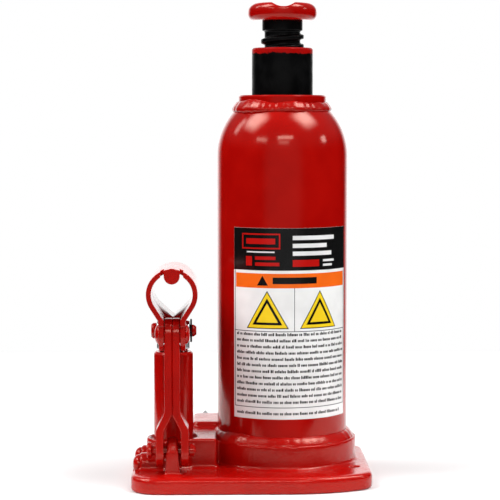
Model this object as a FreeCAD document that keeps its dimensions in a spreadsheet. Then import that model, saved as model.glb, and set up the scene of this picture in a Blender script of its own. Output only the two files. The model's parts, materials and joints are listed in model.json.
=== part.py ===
"""Hydraulic bottle jack, as a parametric assembly of separate pieces.

The origin is on the ram's axis at the underside of the base. +Z is up, the link and its lug are
at the front (-Y), the pump is to the left (-X), and the pump handle goes in from the back (+Y).
All sizes are in millimetres.
"""
import FreeCAD, Part

import os
import re

import Sketcher

SIZES = {
    # foot plate
    "base_left": 80.0,
    "base_right": 46.0,
    "base_front": 61.0,
    "base_rear": 38.0,
    "base_thick": 8.7,
    "rear_bow_half": 26.0,
    "rear_bow": 4.5,
    "front_straight_end": 3.0,
    "front_arc_mid_x": 27.0,
    "front_arc_mid_y": 57.0,
    "front_arc_end_y": 47.0,
    "corner_front_left": 14.0,
    "corner_front_right": 13.0,
    "corner_rear": 10.0,
    "plate_round": 2.4,
    "plate_foot_round": 1.2,
    "fixing_x": 37.5,
    "fixing_y": -29.5,
    "fixing_hole": 4.5,
    # raised parts of the casting
    "boss_rad": 40.0,
    "boss_top": 21.0,
    "web_left": 58.0,
    "web_right": 35.5,
    "web_front": 32.0,
    "web_rear": 4.0,
    "web_top": 24.0,
    "block_left": 48.5,
    "block_right": 24.0,
    "block_rear": 36.0,
    "block_top": 27.0,
    "block_round": 3.0,
    # reservoir casing
    "bottle_rad": 35.0,
    "bottle_wall": 2.5,
    "dome_start": 172.0,
    "dome_rad": 36.2,
    "foot_weld_out": 4.7,
    "foot_weld_up": 4.8,
    "neck_bead_rad": 27.4,
    "neck_bead_top": 200.4,
    "filler_z": 158.0,
    "filler_hole": 8.0,
    "filler_head": 12.0,
    # label on the casing
    "label_low": 34.6,
    "label_high": 135.2,
    "label_thick": 0.15,
    "label_left_angle": 48.0,
    "label_right_angle": 67.0,
    # main cylinder and gland
    "cyl_floor": 12.0,
    "cyl_rad": 23.5,
    "cyl_bore": 19.0,
    "cyl_top": 204.6,
    "gasket_thick": 1.0,
    "gland_rad": 20.5,
    "gland_low": 188.0,
    "gland_sink": 0.8,
    "gland_play": 0.06,
    "wiper_rad": 18.6,
    "wiper_low": 197.5,
    "wiper_high": 201.5,
    "spanner_slot": 3.0,
    # ram and its piston
    "ram_rad": 16.3,
    "ram_top": 229.8,
    "ram_bore": 11.6,
    "ram_bore_floor": 60.0,
    "ram_foot": 55.0,
    "ram_chamfer": 0.8,
    "spigot_rad": 8.0,
    "spigot_low": 37.5,
    "piston_play": 0.05,
    "piston_low": 48.0,
    "cup_low": 44.0,
    "cup_lip": 1.6,
    "washer_low": 42.0,
    "washer_rad": 17.0,
    "piston_nut_low": 38.0,
    "piston_nut_flats": 24.0,
    # extension screw and saddle
    "thread_rad": 11.5,
    "root_rad": 9.55,
    "pitch": 5.0,
    "thread_low": 159.3,
    "thread_high": 239.0,
    "crest_half": 1.0,
    "flank_half": 1.6,
    "shank_rad": 10.8,
    "saddle_low": 244.4,
    "saddle_top": 253.6,
    "saddle_rad": 18.4,
    "saddle_spigot_rad": 6.0,
    "saddle_spigot_top": 249.0,
    "saddle_groove_rad": 8.5,
    "saddle_groove_deep": 2.4,
    "stop_ring_low": 150.0,
    "stop_ring_high": 156.0,
    "stop_spigot_rad": 6.0,
    "stop_ring_play": 0.06,
    # pump barrel and plunger
    "pump_x": -58.3,
    "pump_y": -21.0,
    "pump_boss_rad": 14.5,
    "pump_boss_top": 23.7,
    "pump_groove_rad": 12.4,
    "pump_groove_deep": 2.0,
    "pump_rad": 10.5,
    "pump_floor": 13.0,
    "pump_top": 69.3,
    "pump_bore": 7.75,
    "pump_relief": 1.5,
    "pump_relief_low": 50.0,
    "plunger_rad": 7.7,
    "plunger_low": 26.0,
    "plunger_shoulder": 74.0,
    "plunger_spigot": 3.5,
    "plunger_spigot_low": 19.0,
    "plunger_cup_low": 22.0,
    "plunger_cup_lip": 1.2,
    "plunger_washer_low": 20.0,
    "plunger_wiper_rad": 8.4,
    "plunger_wiper_low": 64.5,
    "plunger_wiper_high": 67.5,
    "fork_half": 8.6,
    "fork_rad": 5.5,
    "fork_low": 71.0,
    "fork_slot_half": 2.75,
    "fork_slot_low": 73.0,
    # pump linkage: three pins
    "link_y": -45.0,
    "foot_pin_z": 20.3,
    "fulcrum_z": 81.0,
    "plunger_pin_z": 80.1,
    "foot_pin_rad": 2.5,
    "fulcrum_rad": 3.5,
    "plunger_pin_rad": 3.2,
    "pin_play": 0.05,
    "strap_thick": 4.0,
    "strap_half": 8.5,
    "strap_gap_half": 4.5,
    "strap_bend_high": 40.0,
    "strap_bend_low": 31.0,
    "strap_bend_shift": 0.945,
    "strap_bend_round": 4.0,
    "lug_half_depth": 7.6,
    "lug_top_half": 2.85,
    "lug_foot_half": 4.0,
    # handle socket
    "socket_z": 102.4,
    "socket_rad": 13.25,
    "socket_bore": 10.65,
    "socket_near": 56.0,
    "socket_far": 7.5,
    "ear_out": 6.9,
    "ear_in": 4.25,
    "ear_rad": 8.6,
    "ear_end": 34.0,
    "tongue_out": 2.5,
    "tongue_in": 0.15,
    "tongue_start": 28.0,
    "tongue_rad": 6.0,
    "skirt_low": 86.4,
    "near_leave": 32.5,
    "far_leave": 48.0,
    "pin_slot_reach": 0.85,
    "pin_slot_shift": 0.6,
    "pin_slot_play": 0.35,
    "stop_half": 4.1,
    "stop_slit": 1.7,
    "stop_slit_long": 9.0,
    "stop_drop": 7.9,
    # pins
    "dome_flat": 0.6,
    "fulcrum_head_rad": 5.5,
    "fulcrum_head_thick": 2.0,
    "plunger_pin_head_rad": 4.2,
    "plunger_pin_head_thick": 2.8,
    "plunger_pin_tail": 3.3,
    "clip_rad": 6.2,
    "clip_thick": 0.9,
    "clip_groove_rad": 2.6,
    "foot_pin_head_rad": 4.4,
    "foot_pin_head_left": 13.3,
    "foot_pin_head_thick": 2.5,
    "foot_pin_clip_rad": 3.4,
    "foot_pin_clip_in": 9.0,
    "foot_pin_clip_thick": 2.2,
    "foot_pin_end": 11.9,
    # check valves at the left of the base
    "valve_z": 10.6,
    "front_valve_y": -31.0,
    "rear_valve_y": -9.0,
    "valve_boss_rad": 6.2,
    "valve_boss_end": 76.0,
    "valve_bore": 3.2,
    "valve_bore_floor": 60.0,
    "valve_ball_rad": 2.4,
    "valve_plug_end": 79.5,
    "valve_plug_head_rad": 5.0,
    "passage_rad": 1.2,
    "port_rad": 0.9,
    "port_shift": 1.6,
    # release valve at the back of the base
    "release_x": -42.0,
    "release_z": 20.5,
    "release_bore": 4.0,
    "release_play": 0.05,
    "release_floor": 12.0,
    "release_ball_rad": 2.5,
    "release_tip": 18.0,
    "release_head_near": 38.0,
    "release_head_far": 48.0,
    "release_flats": 8.5,
    "release_hole_rad": 1.5,
    "release_ring_low": 27.0,
    "release_ring_high": 29.4,
    "release_ring_depth": 1.2,
    # overload valve in the side of the valve block
    "overload_y": 22.0,
    "overload_z": 12.5,
    "overload_bore": 3.0,
    "overload_floor": 33.0,
    "overload_ball_rad": 2.2,
    "overload_screw_in": 41.5,
    "overload_hex_flats": 2.5,
    "spring_wire": 0.5,
    "spring_rad": 1.7,
    "spring_pitch": 1.6,
}

doc = FreeCAD.newDocument("BottleJack")
sheet = doc.addObject("Spreadsheet::Sheet", "Sizes")
for row, (alias, size) in enumerate(SIZES.items(), start=1):
    sheet.set(f"A{row}", alias)
    sheet.set(f"B{row}", str(size))
    sheet.setAlias(f"B{row}", alias)
doc.recompute()

VERTICAL = FreeCAD.Rotation()
TURNS = {
    "Z": VERTICAL,
    "X": FreeCAD.Rotation(FreeCAD.Vector(0, 1, 0), 90),
    "-X": FreeCAD.Rotation(FreeCAD.Vector(0, 1, 0), -90),
    "Y": FreeCAD.Rotation(FreeCAD.Vector(1, 0, 0), -90),
}
UPRIGHT = FreeCAD.Rotation(FreeCAD.Vector(1, 0, 0), 90)
CENTRE = ("0", "0", "0")
PUMP = ("pump_x", "pump_y", "0")
nodes = []


def cells(text):
    """An expression in which every alias is written as a cell of the sheet."""
    return re.sub(r"\b([a-z]\w*)\b(?!\()", r"Sizes.\1", text)


def number(text):
    """The present value of an expression in the sheet's aliases."""
    return float(sheet.evalExpression(cells(text)))


def place(piece, at, turn=VERTICAL):
    """Put a piece at a point that follows the sheet, with its own Z axis turned."""
    piece.Placement = FreeCAD.Placement(FreeCAD.Vector(), turn)
    for letter, text in zip("xyz", at):
        piece.setExpression(f"Placement.Base.{letter}", cells(text))
    return piece


def keep(label, piece):
    """Make a finished piece a node of the assembly."""
    piece.Label = label
    nodes.append(piece)
    return piece


def draw(sketch, corners):
    """Fill a sketch with a closed outline that follows the sheet.

    A corner is (across, up). A corner of four is followed by an arc to the next corner, and its
    last two values are a point that the arc goes through.
    """
    spots = [FreeCAD.Vector(number(c[0]), number(c[1]), 0) for c in corners]
    ends = []
    for index, corner in enumerate(corners):
        start = spots[index]
        finish = spots[(index + 1) % len(spots)]
        if len(corner) == 2:
            sketch.addGeometry(Part.LineSegment(start, finish))
            ends.append((1, 2))
        else:
            middle = FreeCAD.Vector(number(corner[2]), number(corner[3]), 0)
            edge = sketch.addGeometry(Part.Arc(start, middle, finish))
            begins = sketch.getPoint(edge, 1).distanceToPoint(start) < 1e-4
            ends.append((1, 2) if begins else (2, 1))
    for index, corner in enumerate(corners):
        after = (index + 1) % len(corners)
        sketch.addConstraint(
            Sketcher.Constraint("Coincident", index, ends[index][1], after, ends[after][0]))
        pin(sketch, f"corner{index}", index, ends[index][0], corner[:2])
        if len(corner) == 4:
            middle = FreeCAD.Vector(number(corner[2]), number(corner[3]), 0)
            guide = sketch.addGeometry(Part.Point(middle), True)
            pin(sketch, f"guide{index}", guide, 1, corner[2:])
            sketch.addConstraint(Sketcher.Constraint("PointOnObject", guide, 1, index))
    return sketch


def pin(sketch, name, edge, end, spot):
    """Hold one point of a sketch at (across, up) from the sketch's origin."""
    for kind, text in zip(("DistanceX", "DistanceY"), spot):
        rule = Sketcher.Constraint(kind, -1, 1, edge, end, number(text))
        index = sketch.addConstraint(rule)
        sketch.renameConstraint(index, f"{name}_{kind}")
        sketch.setExpression(f"Constraints.{name}_{kind}", cells(text))


def plane_sketch(body, role):
    """An empty sketch on one of a body's own origin planes."""
    plane = next(f for f in body.Origin.OriginFeatures if f.Role == role)
    sketch = body.newObject("Sketcher::SketchObject", f"{body.Name}_outline")
    sketch.AttachmentSupport = (plane, "")
    sketch.MapMode = "FlatFace"
    return sketch


def revolved(body, corners):
    """Sweep a half outline of (radius, height) round a body's upright axis."""
    sketch = draw(plane_sketch(body, "XZ_Plane"), corners)
    turning = body.newObject("PartDesign::Revolution", f"{body.Name}_turning")
    turning.Profile = sketch
    turning.ReferenceAxis = (sketch, ["V_Axis"])
    turning.Angle = 360


def wound(body, sketch, pitch, height):
    """Wind a sketch up a body's upright axis, as a thread or a spring."""
    helix = body.newObject("PartDesign::AdditiveHelix", f"{body.Name}_helix")
    helix.Profile = sketch
    helix.ReferenceAxis = (sketch, ["V_Axis"])
    helix.setExpression("Pitch", cells(pitch))
    helix.setExpression("Height", cells(height))


def turned(name, corners, at=CENTRE, axis="Z"):
    """A turned piece."""
    body = doc.addObject("PartDesign::Body", name)
    revolved(body, corners)
    return place(body, at, TURNS[axis])


def ring(name, inner, outer, low, high, at=CENTRE, axis="Z"):
    """A plain ring or washer."""
    corners = [(inner, low), (outer, low), (outer, high), (inner, high)]
    return turned(name, corners, at, axis)


def padded(name, role, corners, length, at=CENTRE):
    """A flat outline given a thickness, symmetric about its plane."""
    body = doc.addObject("PartDesign::Body", name)
    pad = body.newObject("PartDesign::Pad", f"{name}_pad")
    pad.Profile = draw(plane_sketch(body, role), corners)
    pad.Midplane = True
    pad.setExpression("Length", cells(length))
    return place(body, at)


def rounded(body, radius, wanted):
    """Round the edges of a body's latest feature that the test picks."""
    doc.recompute()
    last = body.Tip
    edges = last.Shape.Edges
    picked = [f"Edge{i}" for i, edge in enumerate(edges, start=1) if wanted(edge)]
    fillet = body.newObject("PartDesign::Fillet", f"{body.Name}_round")
    fillet.Base = (last, picked)
    fillet.setExpression("Radius", cells(radius))
    return body


def box(name, low, high):
    """A block between two corners."""
    block = doc.addObject("Part::Box", name)
    for side, start, stop in zip(("Length", "Width", "Height"), low, high):
        block.setExpression(side, cells(f"({stop}) - ({start})"))
    return place(block, low)


def rod(name, radius, length, at, axis="Z"):
    """A plain round bar that starts at a point."""
    bar = doc.addObject("Part::Cylinder", name)
    bar.setExpression("Radius", cells(radius))
    bar.setExpression("Height", cells(length))
    return place(bar, at, TURNS[axis])


def ball(name, radius, at):
    """A steel ball."""
    sphere = doc.addObject("Part::Sphere", name)
    sphere.setExpression("Radius", cells(radius))
    return place(sphere, at)


def hexagon(name, flats, length, at, axis="Z"):
    """A hexagonal bar, sized across its flats."""
    bar = doc.addObject("Part::Prism", name)
    bar.Polygon = 6
    bar.setExpression("Circumradius", cells(f"{flats} / sqrt(3)"))
    bar.setExpression("Height", cells(length))
    return place(bar, at, TURNS[axis])


def coil(name, length, at, axis):
    """A close helical spring, as one swept wire."""
    body = doc.addObject("PartDesign::Body", name)
    sketch = plane_sketch(body, "XZ_Plane")
    middle = FreeCAD.Vector(number("spring_rad"), number("spring_wire"), 0)
    sketch.addGeometry(Part.Circle(middle, FreeCAD.Vector(0, 0, 1), number("spring_wire / 2")))
    pin(sketch, "centre", 0, 3, ("spring_rad", "spring_wire"))
    size = sketch.addConstraint(Sketcher.Constraint("Radius", 0, number("spring_wire / 2")))
    sketch.renameConstraint(size, "wire_radius")
    sketch.setExpression("Constraints.wire_radius", cells("spring_wire / 2"))
    wound(body, sketch, "spring_pitch", f"{length} - 2 * spring_wire")
    return place(body, at, TURNS[axis])


def fuse(name, *pieces):
    """Several solids made one."""
    joined = doc.addObject("Part::MultiFuse", name)
    joined.Shapes = list(pieces)
    joined.Refine = True
    return joined


def cut(name, base, *tools):
    """A solid with one or more others taken away."""
    left = doc.addObject("Part::Cut", name)
    left.Base = base
    left.Tool = tools[0] if len(tools) == 1 else fuse(f"{name}_tools", *tools)
    left.Refine = True
    return left


def overlap(name, *pieces):
    """What several solids share."""
    shared = doc.addObject("Part::MultiCommon", name)
    shared.Shapes = list(pieces)
    shared.Refine = True
    return shared


def is_upright(edge):
    """Whether an edge is a straight vertical one."""
    low, high = edge.BoundBox.ZMin, edge.BoundBox.ZMax
    return high - low > 1 and abs(edge.Length - (high - low)) < 1e-4


def foot_plate():
    """The flat foot: bowed back at the front right, and out at the rear round the boss."""
    corners = [
        ("-base_left", "-base_front"),
        ("front_straight_end", "-base_front", "front_arc_mid_x", "-front_arc_mid_y"),
        ("base_right", "-front_arc_end_y"),
        ("base_right", "base_rear"),
        ("rear_bow_half", "base_rear", "0", "base_rear + rear_bow"),
        ("-rear_bow_half", "base_rear"),
        ("-base_left", "base_rear"),
    ]
    plate = padded("foot_plate", "XY_Plane", corners, "base_thick", ("0", "0", "base_thick / 2"))
    left, right = number("-base_left"), number("base_right")

    def corner(side, rear):
        def wanted(edge):
            middle = edge.CenterOfMass
            return is_upright(edge) and abs(middle.x - side) < 1 and (middle.y > 0) == rear
        return wanted

    rounded(plate, "corner_front_left", corner(left, False))
    rounded(plate, "corner_front_right", corner(right, False))
    rounded(plate, "corner_rear", corner(left, True))
    rounded(plate, "corner_rear", corner(right, True))
    high = number("base_thick / 2")
    rounded(plate, "plate_round", lambda edge: edge.BoundBox.ZMin > high - 0.01)
    rounded(plate, "plate_foot_round", lambda edge: edge.BoundBox.ZMax < 0.01 - high)
    return plate


def link_lug():
    """The upstanding eye that holds the link's foot, thinner at its top."""
    low, eye = "base_thick - 2", "foot_pin_z"
    top = "foot_pin_z + lug_half_depth"
    corners = [
        ("-lug_foot_half", low), ("lug_foot_half", low),
        ("lug_top_half", top), ("-lug_top_half", top)]
    sides = padded("lug_sides", "XZ_Plane", corners, "2 * lug_half_depth", ("pump_x", "link_y", "0"))
    lower = box(
        "lug_lower",
        ("pump_x - 10", "link_y - lug_half_depth", "0"),
        ("pump_x + 10", "link_y + lug_half_depth", eye))
    crown = rod("lug_crown", "lug_half_depth", "20", ("pump_x - 10", "link_y", eye), "X")
    return overlap("link_lug", sides, fuse("lug_outline", lower, crown))


def valve_boss(name, across):
    """A round boss that holds one check valve, lying along X."""
    return rod(name, "valve_boss_rad", "valve_boss_end + pump_x", ("pump_x", across, "valve_z"), "-X")


def raised_blocks():
    """The web and the valve block that stand beside the casing."""
    web = box(
        "web", ("-web_left", "-web_front", "0"), ("-web_right", "web_rear + 1", "web_top"))
    corners = [
        ("-block_left", "web_rear"), ("-block_right", "web_rear"),
        ("-block_right", "block_rear"), ("-block_left", "block_rear")]
    block = padded("valve_block", "XY_Plane", corners, "block_top", ("0", "0", "block_top / 2"))
    left = number("-block_left")
    rounded(block, "block_round", lambda edge: edge.CenterOfMass.x < left + 0.01 and is_upright(edge))
    rim = number("block_top / 2")
    rounded(block, "block_round / 2", lambda edge: edge.BoundBox.ZMin > rim - 0.01)
    return fuse("blocks", web, block)


def drilled_ways():
    """Every hole that is drilled or bored in the casting."""
    ways = [
        rod("cylinder_seat", "cyl_rad", "block_top", ("0", "0", "cyl_floor")),
        rod("casing_seat", "bottle_rad", "block_top", ("0", "0", "boss_top")),
        rod("pump_seat", "pump_rad", "block_top", ("pump_x", "pump_y", "pump_floor")),
        rod("pump_groove", "pump_groove_rad", "block_top",
            ("pump_x", "pump_y", "pump_boss_top - pump_groove_deep")),
        rod("foot_pin_way", "foot_pin_rad", "20", ("pump_x - 10", "link_y", "foot_pin_z"), "X"),
        rod("release_way", "release_bore", "block_rear", ("release_x", "release_floor", "release_z"), "Y"),
        rod("overload_way", "overload_bore", "block_left",
            ("-overload_floor", "overload_y", "overload_z"), "-X"),
        rod("fixing_way", "fixing_hole / 2", "2 * base_thick", ("fixing_x", "fixing_y", "-1")),
        rod("cross_passage", "passage_rad", "rear_valve_y - front_valve_y",
            ("-valve_bore_floor - port_shift", "front_valve_y", "valve_z"), "Y"),
        rod("pump_port", "port_rad", "pump_floor", ("-valve_bore_floor - port_shift", "pump_y", "valve_z")),
        rod("ram_passage", "port_rad", "valve_bore_floor - spigot_rad",
            ("-valve_bore_floor - 1", "rear_valve_y", "valve_z - 1"), "X"),
        rod("ram_port", "passage_rad", "cyl_floor",
            ("-spigot_rad - 3", "rear_valve_y", "valve_z - 1")),
    ]
    for name, across in (("front", "front_valve_y"), ("rear", "rear_valve_y")):
        ways.append(rod(
            f"{name}_valve_way", "valve_bore", "valve_boss_end",
            ("-valve_bore_floor", across, "valve_z"), "-X"))
        ways.append(rod(
            f"{name}_spot_face", "valve_plug_head_rad + 0.3", "valve_boss_rad",
            ("-valve_boss_end", across, "valve_z"), "-X"))
    return ways


def base_and_weld():
    """The base casting, and the weld that joins the casing to it."""
    blocks = raised_blocks()
    solid = fuse(
        "casting_solid",
        foot_plate(),
        rod("main_boss", "boss_rad", "boss_top", CENTRE),
        rod("pump_boss", "pump_boss_rad", "pump_boss_top", PUMP),
        valve_boss("front_valve_boss", "front_valve_y"),
        valve_boss("rear_valve_boss", "rear_valve_y"),
        link_lug(),
        blocks)
    keep("base_casting", cut("casting", solid, *drilled_ways()))
    bead = turned("foot_bead", [
        ("bottle_rad", "boss_top"),
        ("bottle_rad + foot_weld_out", "boss_top",
         "bottle_rad + 0.6 * foot_weld_out", "boss_top + 0.6 * foot_weld_up"),
        ("bottle_rad", "boss_top + foot_weld_up")])
    keep("casing_foot_weld", cut("foot_weld", bead, blocks))


def dome_height(radius, offset="0"):
    """The height of the casing's domed shoulder at a radius, on a face offset inwards."""
    reach = f"({radius} - bottle_rad + dome_rad)"
    return f"dome_start + sqrt((dome_rad - {offset}) ^ 2 - {reach} ^ 2)"


def casing_pieces():
    """The reservoir casing, its neck bead, the filler plug and the label."""
    bend = "bottle_rad - 0.12 * dome_rad"
    inner_bend = "bottle_rad - bottle_wall - 0.1 * dome_rad"
    shell = turned("casing_shell", [
        ("bottle_rad - bottle_wall", "boss_top"),
        ("bottle_rad", "boss_top"),
        ("bottle_rad", "dome_start", bend, dome_height(bend)),
        ("cyl_rad", dome_height("cyl_rad")),
        ("cyl_rad", dome_height("cyl_rad", "bottle_wall"),
         inner_bend, dome_height(inner_bend, "bottle_wall")),
        ("bottle_rad - bottle_wall", "dome_start")])
    hole = rod("filler_way", "filler_hole / 2", "bottle_rad", ("0", "bottle_rad / 2", "filler_z"), "Y")
    keep("reservoir_casing", cut("casing", shell, hole))
    keep("neck_weld_bead", turned("neck_bead", [
        ("cyl_rad", dome_height("cyl_rad"), "cyl_rad + 2", dome_height("cyl_rad + 2")),
        ("neck_bead_rad", dome_height("neck_bead_rad"), "neck_bead_rad - 0.4", "neck_bead_top - 2.2"),
        ("cyl_rad", "neck_bead_top")]))
    keep("filler_plug", turned("filler", [
        ("0", "bottle_rad - bottle_wall - 1"),
        ("filler_hole / 2", "bottle_rad - bottle_wall - 1"),
        ("filler_hole / 2", "bottle_rad + 0.3"),
        ("filler_head / 2", "bottle_rad + 0.3"),
        ("filler_head / 2", "bottle_rad + 1.2", "filler_head / 3", "bottle_rad + 2.4"),
        ("dome_flat", "bottle_rad + 2.8"),
        ("0", "bottle_rad + 2.8")], ("0", "0", "filler_z"), "Y"))
    sheet_ring = doc.addObject("Part::Cylinder", "label_outer")
    core = doc.addObject("Part::Cylinder", "label_core")
    for piece, radius in ((sheet_ring, "bottle_rad + label_thick"), (core, "bottle_rad")):
        piece.setExpression("Radius", cells(radius))
        piece.setExpression("Height", cells("label_high - label_low"))
        piece.setExpression("Angle", cells("label_left_angle + label_right_angle"))
        start = FreeCAD.Rotation(FreeCAD.Vector(0, 0, 1), -90 - number("label_left_angle"))
        place(piece, ("0", "0", "label_low"), start)
    keep("label", cut("label_sheet", sheet_ring, core))


def cylinder_pieces():
    """The main cylinder, its foot gasket, the gland nut and the ram wiper."""
    keep("hydraulic_cylinder", turned("main_cylinder", [
        ("cyl_bore", "cyl_floor + gasket_thick"),
        ("cyl_rad", "cyl_floor + gasket_thick"),
        ("cyl_rad", "cyl_top - 0.7"),
        ("cyl_rad - 0.7", "cyl_top"),
        ("gland_rad", "cyl_top"),
        ("gland_rad", "gland_low"),
        ("cyl_bore", "gland_low")]))
    keep("cylinder_foot_gasket", ring(
        "foot_gasket", "cyl_bore", "cyl_rad", "cyl_floor", "cyl_floor + gasket_thick"))
    gland_top = "cyl_top - gland_sink"
    gland_bore = "ram_rad + gland_play"
    gland = turned("gland_turning", [
        (gland_bore, "gland_low"),
        ("gland_rad", "gland_low"),
        ("gland_rad", gland_top),
        (f"{gland_bore} + 1.2", gland_top),
        (f"{gland_bore} + 0.6", f"{gland_top} - 0.6"),
        (f"{gland_bore} + 0.6", "wiper_high"),
        ("wiper_rad", "wiper_high"),
        ("wiper_rad", "wiper_low"),
        (gland_bore, "wiper_low")])
    slots = box(
        "spanner_slots",
        ("-spanner_slot / 2", "-cyl_rad", f"{gland_top} - 1.5"),
        ("spanner_slot / 2", "cyl_rad", "cyl_top"))
    keep("gland_nut", cut("gland", gland, slots))
    keep("ram_wiper", turned("wiper", [
        (gland_bore, "wiper_low"),
        ("wiper_rad", "wiper_low"),
        ("wiper_rad", "wiper_high"),
        (f"{gland_bore} + 0.5", "wiper_high"),
        (gland_bore, "wiper_high - 1")]))


def ram_pieces():
    """The hollow ram and what is built on its foot."""
    keep("ram", turned("ram_turning", [
        ("0", "spigot_low"),
        ("spigot_rad", "spigot_low"),
        ("spigot_rad", "ram_foot"),
        ("ram_rad", "ram_foot"),
        ("ram_rad", "ram_top - ram_chamfer"),
        ("ram_rad - ram_chamfer", "ram_top"),
        ("ram_bore + 0.5", "ram_top"),
        ("ram_bore", "ram_top - 0.5"),
        ("ram_bore", "ram_bore_floor"),
        ("0", "ram_bore_floor - 4")]))
    face = "cyl_bore - piston_play"
    keep("piston_head", ring("piston", "spigot_rad", face, "piston_low", "ram_foot"))
    keep("piston_cup_seal", turned("ram_cup", [
        ("spigot_rad", "cup_low + cup_lip"),
        ("cyl_bore - 3", "cup_low + cup_lip"),
        ("cyl_bore - 1.8", "cup_low"),
        (face, "cup_low"),
        (face, "piston_low"),
        ("spigot_rad", "piston_low")]))
    keep("piston_seal_washer", turned("ram_washer", [
        ("spigot_rad", "washer_low"),
        ("washer_rad - 2", "washer_low"),
        ("cyl_bore - 4", "cup_low + cup_lip - 0.4"),
        ("cyl_bore - 4", "cup_low + cup_lip"),
        ("spigot_rad", "cup_low + cup_lip")]))
    nut = hexagon(
        "nut_blank", "piston_nut_flats", "washer_low - piston_nut_low", ("0", "0", "piston_nut_low"))
    way = rod("nut_way", "spigot_rad", "30", ("0", "0", "piston_nut_low - 1"))
    keep("piston_nut", cut("ram_nut", nut, way))


def screw_pieces():
    """The extension screw, its sliding stop ring and the saddle."""
    screw = doc.addObject("PartDesign::Body", "screw")
    revolved(screw, [
        ("0", "stop_ring_low"),
        ("stop_spigot_rad", "stop_ring_low"),
        ("stop_spigot_rad", "stop_ring_high"),
        ("root_rad", "stop_ring_high"),
        ("root_rad", "thread_high"),
        ("shank_rad", "thread_high"),
        ("shank_rad", "saddle_low"),
        ("saddle_spigot_rad", "saddle_low"),
        ("saddle_spigot_rad", "saddle_spigot_top"),
        ("0", "saddle_spigot_top")])
    doc.recompute()
    first = "thread_low + flank_half"
    tooth = draw(plane_sketch(screw, "XZ_Plane"), [
        ("root_rad - 0.2", f"{first} + flank_half"),
        ("root_rad - 0.2", f"{first} - flank_half"),
        ("thread_rad", f"{first} - crest_half"),
        ("thread_rad", f"{first} + crest_half")])
    wound(screw, tooth, "pitch", "thread_high - thread_low - 2 * flank_half")
    keep("extension_screw", screw)

    keep("screw_stop_ring", ring(
        "stop_ring", "stop_spigot_rad + stop_ring_play", "thread_rad", "stop_ring_low + 0.5",
        "stop_ring_high - 0.5"))

    middle = "(saddle_low + saddle_top) / 2"
    blank = turned("saddle_blank", [
        ("0", "saddle_low"),
        ("saddle_rad - 2.6", "saddle_low", "saddle_rad - 0.6", "saddle_low + 1.4"),
        ("saddle_rad", middle, "saddle_rad - 0.9", "saddle_top - 1.6"),
        ("saddle_rad - 3.4", "saddle_top"),
        ("0", "saddle_top")])
    groove_z = "saddle_top + saddle_groove_rad - saddle_groove_deep"
    grooves = [
        rod("groove_x", "saddle_groove_rad", "2 * saddle_rad", ("-saddle_rad", "0", groove_z), "X"),
        rod("groove_y", "saddle_groove_rad", "2 * saddle_rad", ("0", "-saddle_rad", groove_z), "Y")]
    socket = rod("saddle_socket", "saddle_spigot_rad", "saddle_spigot_top - saddle_low + 1",
                 ("0", "0", "saddle_low - 1"))
    keep("saddle", cut("saddle_body", blank, socket, *grooves))


def pump_pieces():
    """The pump barrel, the plunger and their seals."""
    floor = "pump_floor + gasket_thick"
    barrel = turned("barrel_tube", [
        ("pump_bore", floor),
        ("pump_rad", floor),
        ("pump_rad", "pump_top - 1.2"),
        ("pump_rad - 1.2", "pump_top"),
        ("pump_bore + 0.5", "pump_top"),
        ("pump_bore + 0.1", "pump_top - 0.4"),
        ("pump_bore + 0.1", "plunger_wiper_high"),
        ("plunger_wiper_rad", "plunger_wiper_high"),
        ("plunger_wiper_rad", "plunger_wiper_low"),
        ("pump_bore", "plunger_wiper_low")], PUMP)
    relief = box(
        "barrel_relief",
        ("pump_x - pump_rad", "pump_y - 2 * pump_rad", "pump_relief_low"),
        ("pump_x + pump_rad", "pump_y - pump_rad + pump_relief", "pump_top + 1"))
    keep("pump_cylinder", cut("barrel", barrel, relief))
    keep("pump_cylinder_gasket", ring("barrel_gasket", "pump_bore", "pump_rad", "pump_floor", floor, PUMP))
    keep("plunger_wiper", ring(
        "barrel_wiper", "pump_bore", "plunger_wiper_rad", "plunger_wiper_low", "plunger_wiper_high", PUMP))

    stem = turned("plunger_stem", [
        ("0", "plunger_spigot_low"),
        ("plunger_spigot", "plunger_spigot_low"),
        ("plunger_spigot", "plunger_low"),
        ("plunger_rad", "plunger_low"),
        ("plunger_rad", "plunger_shoulder - 0.6"),
        ("plunger_rad - 0.6", "plunger_shoulder"),
        ("0", "plunger_shoulder")], PUMP)
    cheeks = box(
        "fork_cheeks",
        ("pump_x - fork_half", "pump_y - fork_rad", "fork_low"),
        ("pump_x + fork_half", "pump_y + fork_rad", "plunger_pin_z"))
    crown = rod("fork_crown", "fork_rad", "2 * fork_half",
                ("pump_x - fork_half", "pump_y", "plunger_pin_z"), "X")
    slot = box(
        "fork_slot",
        ("pump_x - fork_slot_half", "pump_y - 2 * fork_rad", "fork_slot_low"),
        ("pump_x + fork_slot_half", "pump_y + 2 * fork_rad", "plunger_pin_z + 2 * fork_rad"))
    way = rod("fork_way", "plunger_pin_rad", "4 * fork_half",
              ("pump_x - 2 * fork_half", "pump_y", "plunger_pin_z"), "X")
    keep("pump_plunger", cut("plunger", fuse("plunger_solid", stem, cheeks, crown), slot, way))
    cup_floor = "plunger_cup_low + plunger_cup_lip"
    keep("plunger_cup_seal", turned("plunger_cup", [
        ("plunger_spigot", cup_floor),
        ("plunger_rad - 2.4", cup_floor),
        ("plunger_rad - 1.2", "plunger_cup_low"),
        ("plunger_rad", "plunger_cup_low"),
        ("plunger_rad", "plunger_low"),
        ("plunger_spigot", "plunger_low")], PUMP))
    keep("plunger_seal_washer", ring(
        "plunger_washer", "plunger_spigot", "plunger_rad - 2.6", "plunger_washer_low", cup_floor, PUMP))


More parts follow.
